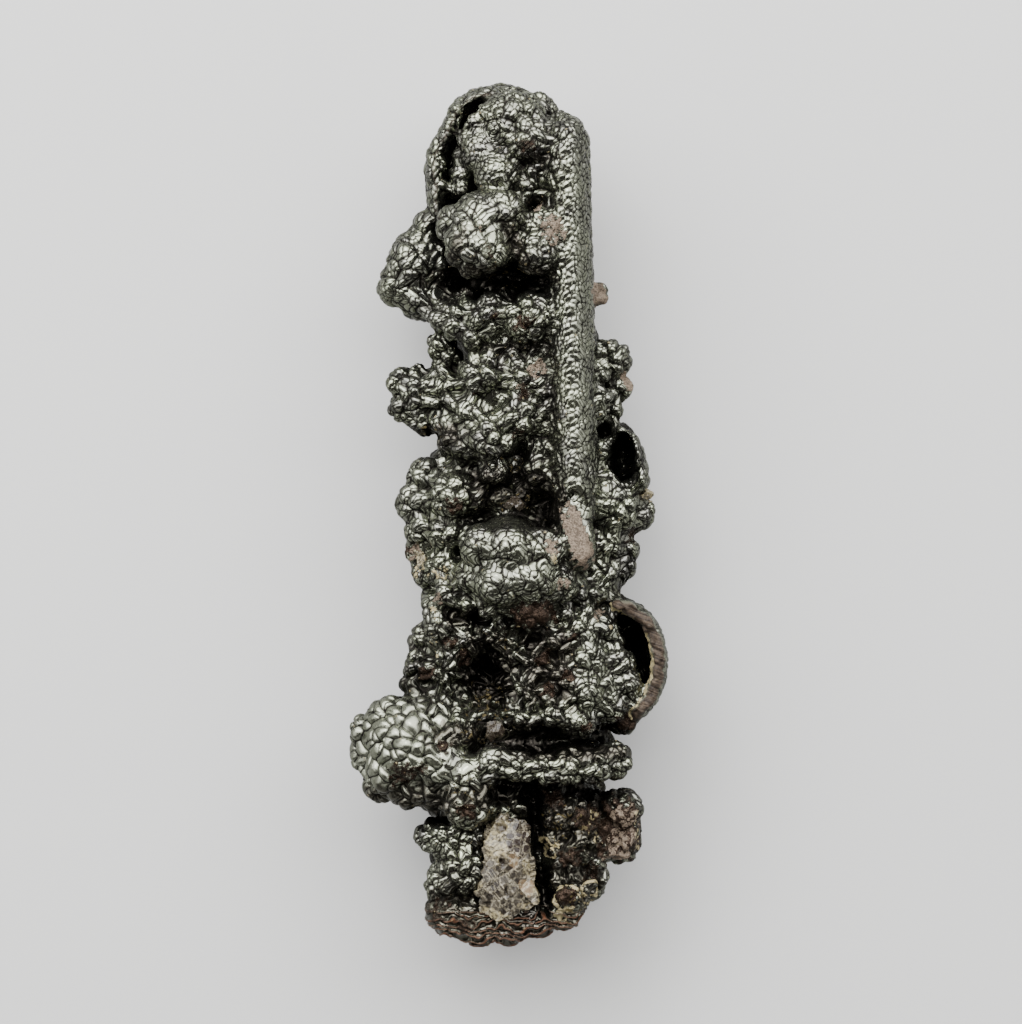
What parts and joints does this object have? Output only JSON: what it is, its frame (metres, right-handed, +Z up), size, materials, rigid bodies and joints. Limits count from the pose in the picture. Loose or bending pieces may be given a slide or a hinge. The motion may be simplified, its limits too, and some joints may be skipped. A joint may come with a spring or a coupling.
{
  "type": "botryoidal goethite specimen",
  "caption": "Tall botryoidal iron oxide mineral specimen of rounded lobes on a stalactitic trunk, with small cleaved calcite crystals, lying on its back.",
  "frame": {"origin": "middle of the specimen's box on the surface that it lies on, back down", "axes": "+Z up, out of the lobed front; +Y along the specimen towards its narrow crown; +X to the right of the lobed front"},
  "size_m": [0.0648, 0.1768, 0.0455],
  "materials": {
    "goethite": "glossy, near black, botryoidal",
    "calcite": "glassy cleavage faces, pale grey to cream"
  },
  "bodies": {
    "root": {"goethite": "goethite", "calcite_cleaved_patch": "calcite", "calcite_right_edge": "calcite", "calcite_left_edge": "calcite", "calcite_upper_crevice": "calcite", "calcite_lower_crevice": "calcite"}
  },
  "joints": []
}
